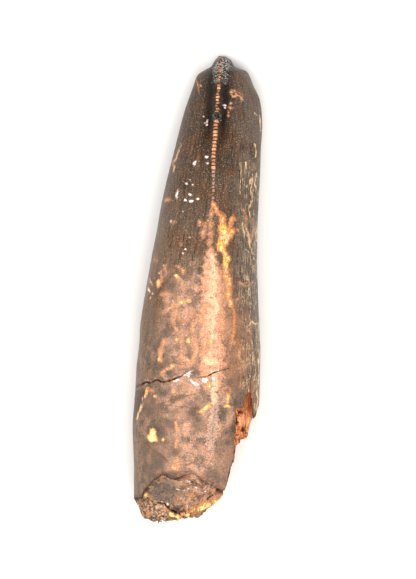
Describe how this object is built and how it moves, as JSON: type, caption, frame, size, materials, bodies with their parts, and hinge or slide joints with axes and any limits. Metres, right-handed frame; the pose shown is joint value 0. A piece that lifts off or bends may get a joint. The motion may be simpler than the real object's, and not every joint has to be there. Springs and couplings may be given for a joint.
{
  "type": "fossil nanotyrannus tooth",
  "caption": "Fossil tooth of a small tyrannosaur, lying on its side, with saw-edged ridges, a cracked root and a rough broken root end.",
  "frame": {"origin": "on the resting surface, under the middle of the tooth's box", "axes": "+Y from the broken root to the tip, +Z from the resting distal side up to the mesial ridge, +X to the right in the picture"},
  "size_m": [0.013, 0.0468, 0.0149],
  "materials": {
    "fossil_tooth": "semi-gloss dark brown fossil enamel, duller pinkish tan root with rust-orange stain and a rough break"
  },
  "bodies": {
    "root": {"tooth": "fossil_tooth"}
  },
  "joints": []
}
